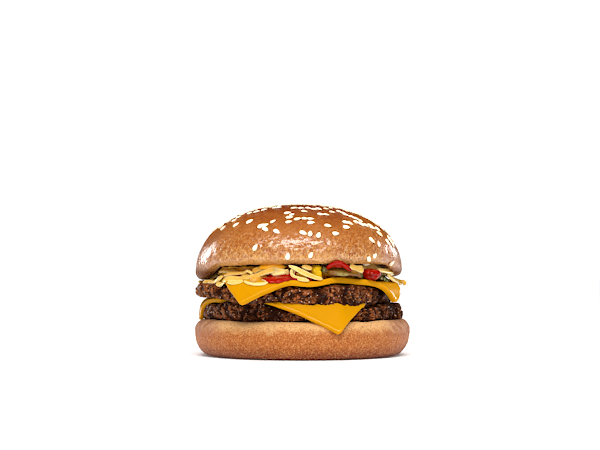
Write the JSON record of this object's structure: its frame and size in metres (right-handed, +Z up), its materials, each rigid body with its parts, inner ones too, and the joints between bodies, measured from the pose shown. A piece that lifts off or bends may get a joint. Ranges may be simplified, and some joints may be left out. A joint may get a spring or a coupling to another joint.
{
  "type": "double cheeseburger",
  "caption": "Cheeseburger: grilled beef patties in a stack, each under a slice of cheese, with onion, pickle, ketchup and mustard in a round seeded bun.",
  "frame": {"origin": "middle of the flat foot of the bun's bottom half", "axes": "+Z up through the burger, -Y towards its front, +X to the right as seen from the front"},
  "size_m": [0.0958, 0.1007, 0.0668],
  "materials": {
    "crust": "egg-washed golden brown crust, satin to glossy",
    "bun": "matt, finely pebbled golden brown crust",
    "meat": "coarse grilled mince, dark brown with charred spots and a greasy sheen",
    "cheese": "smooth soft processed cheese, orange yellow, satin",
    "onion": "moist, translucent pale yellow",
    "pickle": "wet olive green flesh with a dark green skin",
    "ketchup": "glossy red",
    "mustard": "glossy yellow"
  },
  "bodies": {
    "root": {"bun_bottom": "bun", "bun_top": "crust", "patty_lower": "meat", "patty_upper": "meat", "cheese_lower": "cheese", "cheese_upper": "cheese", "onion_heap": "onion", "pickle_front": "pickle", "pickle_right": "pickle", "ketchup_left": "ketchup", "ketchup_middle": "ketchup", "ketchup_right": "ketchup", "mustard": "mustard"}
  },
  "joints": []
}
